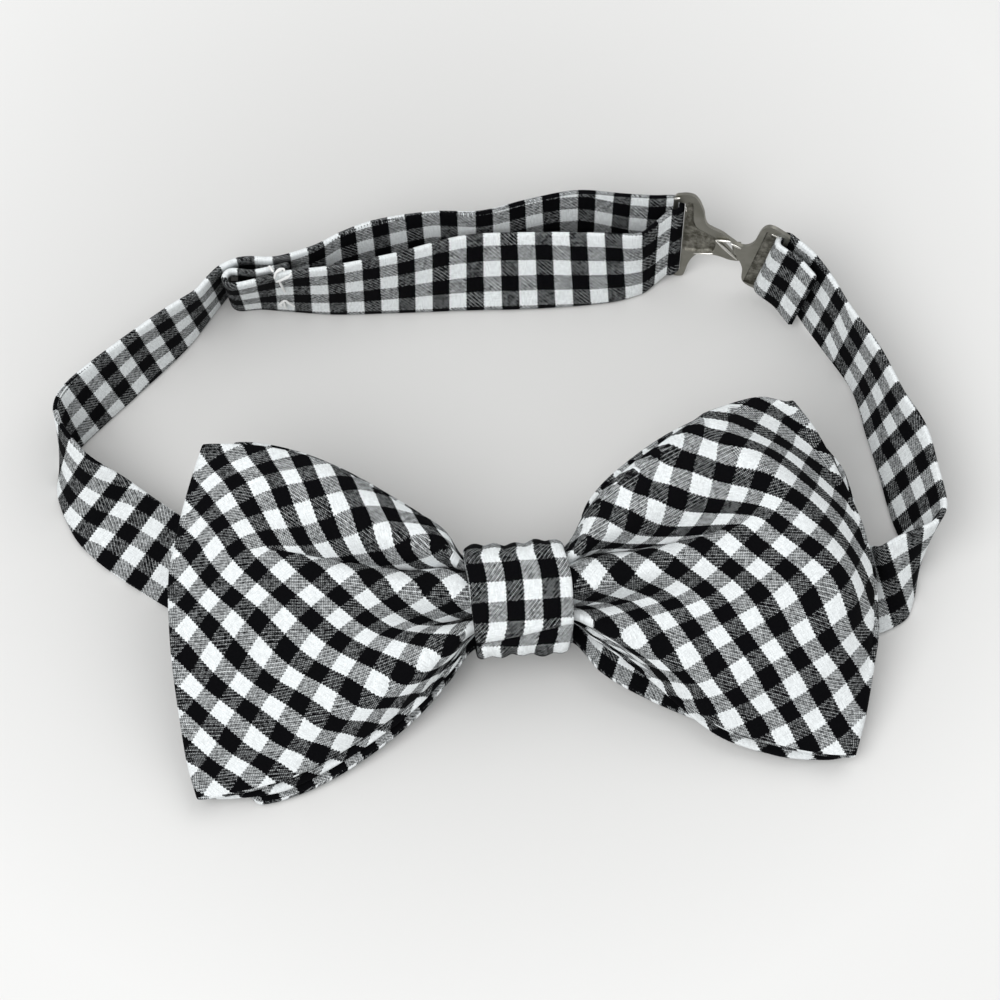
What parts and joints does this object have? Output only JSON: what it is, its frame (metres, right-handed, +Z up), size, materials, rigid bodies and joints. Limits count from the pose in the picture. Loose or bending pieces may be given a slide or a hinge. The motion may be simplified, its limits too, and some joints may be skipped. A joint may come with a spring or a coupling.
{
  "type": "pre-tied bow tie",
  "caption": "Pre-tied gingham bow tie with a double bow, a wrapped knot, a folded adjustable neckband and a hook-and-eye clasp, lying flat.",
  "frame": {"origin": "middle of the bounding box's bottom, on the surface that the bow tie lies on", "axes": "+X along the bow to the side of the clasp's hook, +Y from the bow towards the back of the neckband, +Z up"},
  "size_m": [0.1574, 0.1118, 0.034],
  "materials": {
    "bow_cloth": "plain-woven black and white gingham cotton, cut on the bias",
    "knot_cloth": "the same gingham, cut straight",
    "strap_cloth": "the same gingham, folded to a flat band",
    "nickel": "worn nickel plate, mottled, with bright bevels",
    "dark_metal": "dark"
  },
  "bodies": {
    "root": {"left_wing": "bow_cloth", "right_wing": "bow_cloth", "rear_bow": "bow_cloth", "knot": "knot_cloth", "long_strap": "strap_cloth", "short_strap": "strap_cloth", "eye_plate": "nickel", "hook_plate": "nickel", "slide_bar": "dark_metal"}
  },
  "joints": []
}
